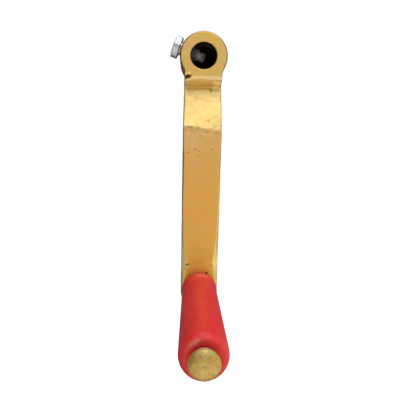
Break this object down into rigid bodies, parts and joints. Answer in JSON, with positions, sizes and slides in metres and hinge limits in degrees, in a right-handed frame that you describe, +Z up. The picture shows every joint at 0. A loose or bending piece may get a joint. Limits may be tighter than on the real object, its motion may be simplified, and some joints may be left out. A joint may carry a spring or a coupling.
{
  "type": "window crank operator handle",
  "caption": "Hand crank with a round bored boss, a side set bolt, a flat bent steel arm and a tapered red grip that spins on a domed spindle.",
  "frame": {"origin": "on the shaft bore's axis, in the boss's rear face", "axes": "+Y along the bore towards the operator's shaft, with the grip standing out towards -Y; +Z up the arm from the grip to the boss; +X completes the frame"},
  "size_m": [0.0346, 0.1327, 0.1685],
  "materials": {
    "yellow_zinc": "satin yellow zinc plating on forged steel",
    "bright_zinc": "bright zinc plating",
    "plain_steel": "plain steel",
    "red_plastic": "satin moulded plastic"
  },
  "bodies": {
    "crank": {"crank_arm": "yellow_zinc", "grip_spindle": "yellow_zinc", "base_washer": "bright_zinc", "head_washer": "bright_zinc", "rear_washer": "bright_zinc", "spring_washer": "plain_steel", "spindle_nut": "bright_zinc"},
    "grip": {"grip_sleeve": "red_plastic", "grip_tube": "plain_steel"},
    "set_bolt": {"set_bolt": "bright_zinc"}
  },
  "joints": [
    {"name": "grip_spin", "type": "hinge", "parent": "crank", "child": "grip", "pos_m": [0, -0.08, -0.14], "axis": [0, 1, 0], "continuous": true},
    {"name": "set_bolt_travel", "type": "slide", "parent": "crank", "child": "set_bolt", "axis": [-0.9336, 0, 0.3584], "range_m": [-0.0012, 0.0084]}
  ]
}
